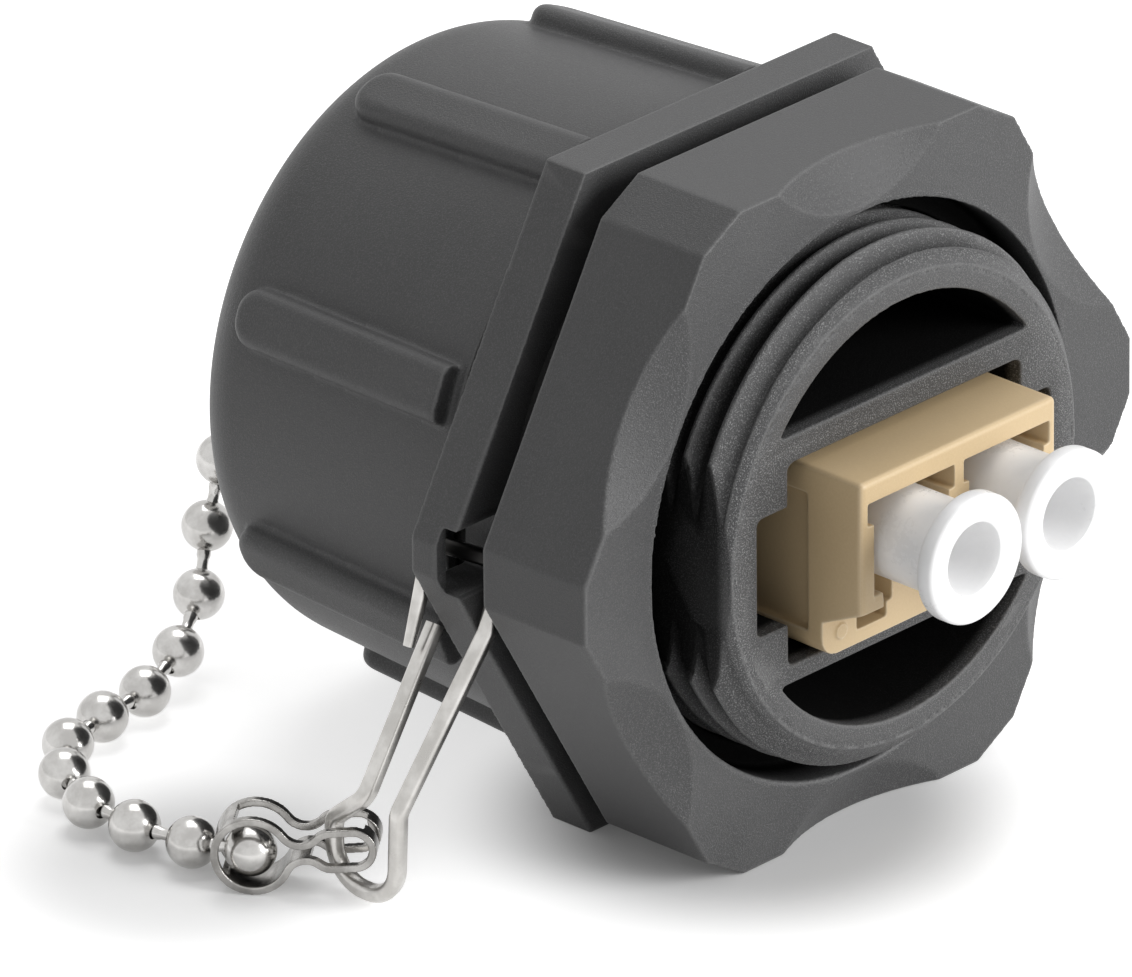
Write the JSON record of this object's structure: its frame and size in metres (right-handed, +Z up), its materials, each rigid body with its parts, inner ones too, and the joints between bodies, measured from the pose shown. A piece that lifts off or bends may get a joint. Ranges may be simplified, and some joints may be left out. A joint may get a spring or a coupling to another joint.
{
  "type": "panel-mount duplex fibre optic adapter",
  "caption": "Panel-mount duplex fibre adapter: hexagonal flange and scalloped nut on a threaded barrel, beige port housing with dust plugs, ribbed screw cap on a ball chain.",
  "frame": {"origin": "on the barrel axis, in the flange face that seats on the panel", "axes": "-Y out of the ports, +Y towards the cap, +Z up, +X to the right seen from the ports"},
  "size_m": [0.0443, 0.0449, 0.0324],
  "materials": {
    "body_plastic": "fine moulded grain",
    "seal_rubber": "matt",
    "housing_plastic": "satin",
    "sleeve_ceramic": "polished",
    "plug_plastic": "glossy",
    "chain_nickel": "bright nickel plate"
  },
  "bodies": {
    "adapter": {"adapter_body": "body_plastic", "panel_gasket": "seal_rubber", "cap_seal": "seal_rubber", "housing_front": "housing_plastic", "housing_rear": "housing_plastic", "split_sleeve_left": "sleeve_ceramic", "split_sleeve_right": "sleeve_ceramic"},
    "nut": {"panel_nut": "body_plastic"},
    "chain_drop": {"chain_swivel": "chain_nickel", "chain_ball_01": "chain_nickel", "chain_ball_02": "chain_nickel", "chain_ball_03": "chain_nickel", "chain_ball_04": "chain_nickel", "chain_ball_05": "chain_nickel", "chain_ball_06": "chain_nickel", "chain_link_01": "chain_nickel", "chain_link_02": "chain_nickel", "chain_link_03": "chain_nickel", "chain_link_04": "chain_nickel", "chain_link_05": "chain_nickel"},
    "cap": {"protective_cap": "body_plastic", "cap_rivet": "chain_nickel"},
    "plug_left": {"dust_plug_left": "plug_plastic"},
    "plug_right": {"dust_plug_right": "plug_plastic"},
    "wire": {"wire_loop": "chain_nickel"},
    "clasp": {"chain_clasp": "chain_nickel", "chain_ball_14": "chain_nickel", "chain_link_13": "chain_nickel"},
    "chain_07": {"chain_ball_07": "chain_nickel", "chain_link_06": "chain_nickel"},
    "chain_08": {"chain_ball_08": "chain_nickel", "chain_link_07": "chain_nickel"},
    "chain_09": {"chain_ball_09": "chain_nickel", "chain_link_08": "chain_nickel"},
    "chain_10": {"chain_ball_10": "chain_nickel", "chain_link_09": "chain_nickel"},
    "chain_11": {"chain_ball_11": "chain_nickel", "chain_link_10": "chain_nickel"},
    "chain_12": {"chain_ball_12": "chain_nickel", "chain_link_11": "chain_nickel"},
    "chain_13": {"chain_ball_13": "chain_nickel", "chain_link_12": "chain_nickel"}
  },
  "joints": [
    {"name": "nut_travel", "type": "slide", "parent": "adapter", "child": "nut", "axis": [0, -1, 0], "range_m": [-0.0003, 0.012]},
    {"name": "cap_travel", "type": "slide", "parent": "adapter", "child": "chain_drop", "axis": [0, 1, 0], "range_m": [0, 0.015]},
    {"name": "cap_turn", "type": "hinge", "parent": "chain_drop", "child": "cap", "pos_m": [0, 0.01, 0], "axis": [0, 1, 0], "range_deg": [0, 1800]},
    {"name": "plug_left_pull", "type": "slide", "parent": "adapter", "child": "plug_left", "axis": [0, -1, 0], "range_m": [0, 0.012]},
    {"name": "plug_right_pull", "type": "slide", "parent": "adapter", "child": "plug_right", "axis": [0, -1, 0], "range_m": [0, 0.012]},
    {"name": "wire_swing", "type": "hinge", "parent": "adapter", "child": "wire", "pos_m": [-0.0162, 0.0012, -0.0004], "axis": [0, 1, 0], "range_deg": [0, 95]},
    {"name": "clasp_swing", "type": "hinge", "parent": "wire", "child": "clasp", "pos_m": [-0.021, 0.00475, -0.0142], "axis": [0, 0, 1], "range_deg": [-40, 30]},
    {"name": "link_07_bend", "type": "hinge", "parent": "chain_drop", "child": "chain_07", "pos_m": [-0.01119, 0.02413, -0.01431], "axis": [0, 0, 1], "range_deg": [-35, 0]},
    {"name": "link_08_bend", "type": "hinge", "parent": "chain_07", "child": "chain_08", "pos_m": [-0.01418, 0.02334, -0.01502], "axis": [0, 0, 1], "range_deg": [-35, 0]},
    {"name": "link_09_bend", "type": "hinge", "parent": "chain_08", "child": "chain_09", "pos_m": [-0.01732, 0.02294, -0.01505], "axis": [0, 0, 1], "range_deg": [-35, 0]},
    {"name": "link_10_bend", "type": "hinge", "parent": "chain_09", "child": "chain_10", "pos_m": [-0.02038, 0.02212, -0.01505], "axis": [0, 0, 1], "range_deg": [-35, 0]},
    {"name": "link_11_bend", "type": "hinge", "parent": "chain_10", "child": "chain_11", "pos_m": [-0.02272, 0.02002, -0.015], "axis": [0, 0, 1], "range_deg": [-35, 0]},
    {"name": "link_12_bend", "type": "hinge", "parent": "chain_11", "child": "chain_12", "pos_m": [-0.02407, 0.01716, -0.01504], "axis": [0, 0, 1], "range_deg": [-35, 0]},
    {"name": "link_13_bend", "type": "hinge", "parent": "chain_12", "child": "chain_13", "pos_m": [-0.02433, 0.014, -0.01505], "axis": [0, 0, 1], "range_deg": [-35, 0]}
  ],
  "couplings": [
    {"joint": "cap_travel", "follows": "cap_turn", "m_per_rad": 0.00047746}
  ]
}
